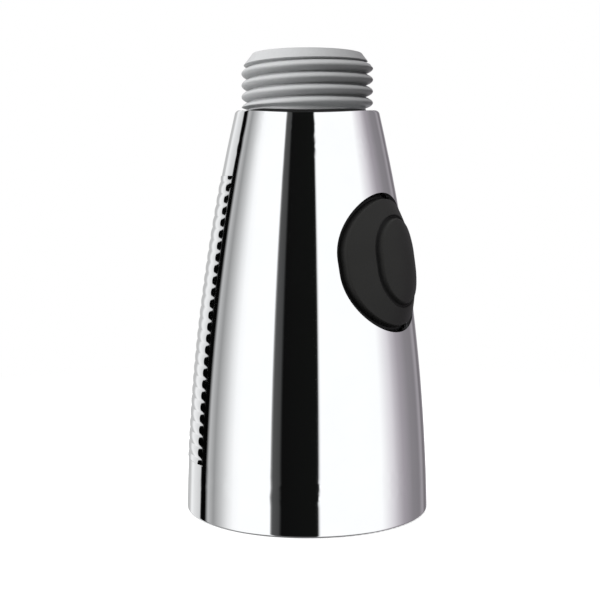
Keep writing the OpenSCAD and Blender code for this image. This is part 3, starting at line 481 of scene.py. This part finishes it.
def studio_world():
    """Surroundings: STUDIO for mirrors, soft daylight for dull surfaces and plain white for the camera."""
    world = bpy.data.worlds.new("studio")
    world.use_nodes = True
    sky = world.node_tree
    way = add(sky, "ShaderNodeTexCoord")
    parts = add(sky, "ShaderNodeSeparateXYZ", [(0, way, "Generated")])
    front = add(sky, "ShaderNodeMath", [(0, parts, 1)], operation="MULTIPLY", in_1=-1.0)
    turn = add(sky, "ShaderNodeMath", [(0, parts, 0), (1, front, 0)], operation="ARCTAN2")
    place = add(sky, "ShaderNodeMapRange", [("Value", turn, 0)], in_1=-math.pi, in_2=math.pi)
    bands = add(sky, "ShaderNodeValToRGB", [(0, place, "Result")])
    ramp = bands.color_ramp.elements
    while len(ramp) > 1:
        ramp.remove(ramp[-1])
    for k, (deg, code) in enumerate(STUDIO):
        stop = ramp[0] if k == 0 else ramp.new((deg + 180) / 360)
        stop.position = (deg + 180) / 360
        stop.color = tint(code)
    gain = blend_colour(sky, [(6, bands, 0)], b=GAIN)
    gain.blend_type = "MULTIPLY"
    gain.inputs[0].default_value = 1.0
    above = add(sky, "ShaderNodeMapRange", [("Value", parts, 2)], in_1=CEILING_FROM, in_2=CEILING_FULL)
    below = add(sky, "ShaderNodeMapRange", [("Value", parts, 2)], in_1=GROUND_FROM, in_2=GROUND_FULL)
    high = blend_colour(sky, [(0, above, 0), (6, gain, 2)], b=CEILING)
    mirrored = blend_colour(sky, [(0, below, 0), (6, high, 2)], b=GROUND)
    lean = add(sky, "ShaderNodeVectorMath", [(0, way, "Generated")], operation="DOT_PRODUCT")
    lean.inputs[1].default_value = DAYLIGHT_FROM
    soft = add(sky, "ShaderNodeMapRange", [("Value", lean, "Value")], in_1=0.0, in_2=1.0,
               in_3=DAYLIGHT_LEAST, in_4=DAYLIGHT_MOST)
    ray = add(sky, "ShaderNodeLightPath")
    plain = blend_colour(sky, [(0, ray, "Is Camera Ray"), (6, soft, 0)], b=WHITE)
    seen = blend_colour(sky, [(0, ray, "Is Glossy Ray"), (6, plain, 2), (7, mirrored, 2)])
    sky.links.new(seen.outputs[2], sky.nodes["Background"].inputs["Color"])
    return world


def lamp(name, place_m, size_m, watts):
    """Soft square lamp aimed at the head's middle; mirrors don't show it."""
    data = bpy.data.lights.new(name, "AREA")
    data.size, data.energy = size_m, watts
    obj = bpy.data.objects.new(name, data)
    obj.location = place_m
    to = np.array([0, 0, 0.04]) - np.array(place_m)
    obj.rotation_euler = (math.acos(-to[2] / np.linalg.norm(to)), 0, math.atan2(to[1], to[0]) - math.pi / 2)
    obj.visible_glossy = False
    bpy.context.collection.objects.link(obj)


def pale_floor():
    """Round floor: it keeps the shadow near the head, is plain white further out and is clear from below."""
    radius, drop, sides = 2, 0.0001, 96
    glow, shadow_out, plain_from = 0.6, 0.05, 0.16
    mesh = bpy.data.meshes.new("floor")
    a = np.linspace(0, 2 * np.pi, sides, endpoint=False)
    mesh.from_pydata(round_the_axis(radius, 0 * a - drop, a).tolist(), [], [list(range(sides))])
    floor = bpy.data.objects.new("floor", mesh)
    bpy.context.collection.objects.link(floor)
    mat = bpy.data.materials.new("pale_floor")
    mat.use_nodes = True
    tree = mat.node_tree
    shader = tree.nodes["Principled BSDF"]
    shader.inputs["Roughness"].default_value = 0.9
    shader.inputs["Specular IOR Level"].default_value = 0.0
    shader.inputs["Emission Color"].default_value = WHITE
    ray = add(tree, "ShaderNodeLightPath")
    paint = blend_colour(tree, [(0, ray, "Is Camera Ray")], a=tint("#707070"), b=tint("#f4f4f4"))
    tree.links.new(paint.outputs[2], shader.inputs["Base Color"])
    lift = add(tree, "ShaderNodeMath", [(0, ray, "Is Camera Ray")], operation="MULTIPLY", in_1=glow)
    tree.links.new(lift.outputs[0], shader.inputs["Emission Strength"])
    spot = add(tree, "ShaderNodeTexCoord")
    reach = add(tree, "ShaderNodeVectorMath", [(0, spot, "Object")], operation="LENGTH")
    far = add(tree, "ShaderNodeMapRange", [("Value", reach, "Value")], in_1=shadow_out, in_2=plain_from,
              interpolation_type="SMOOTHSTEP")
    both = add(tree, "ShaderNodeMath", [(0, far, 0), (1, ray, "Is Camera Ray")], operation="MULTIPLY")
    white = add(tree, "ShaderNodeEmission", in_Strength=1.0)
    join = add(tree, "ShaderNodeMixShader", [(0, both, 0), (1, shader, 0), (2, white, 0)])
    clear = add(tree, "ShaderNodeBsdfTransparent")
    side = add(tree, "ShaderNodeNewGeometry")
    faced = add(tree, "ShaderNodeMixShader", [(0, side, "Backfacing"), (1, join, 0), (2, clear, 0)])
    tree.links.new(faced.outputs[0], tree.nodes["Material Output"].inputs["Surface"])
    mesh.materials.append(mat)
    floor.visible_glossy = False
    return floor


scene.world = studio_world()
lamp("key", (-0.8, -0.3, 0.3), 0.25, 4.2)
lamp("top", (0.05, -0.36, 0.85), 0.12, 3.2)
pale_floor()
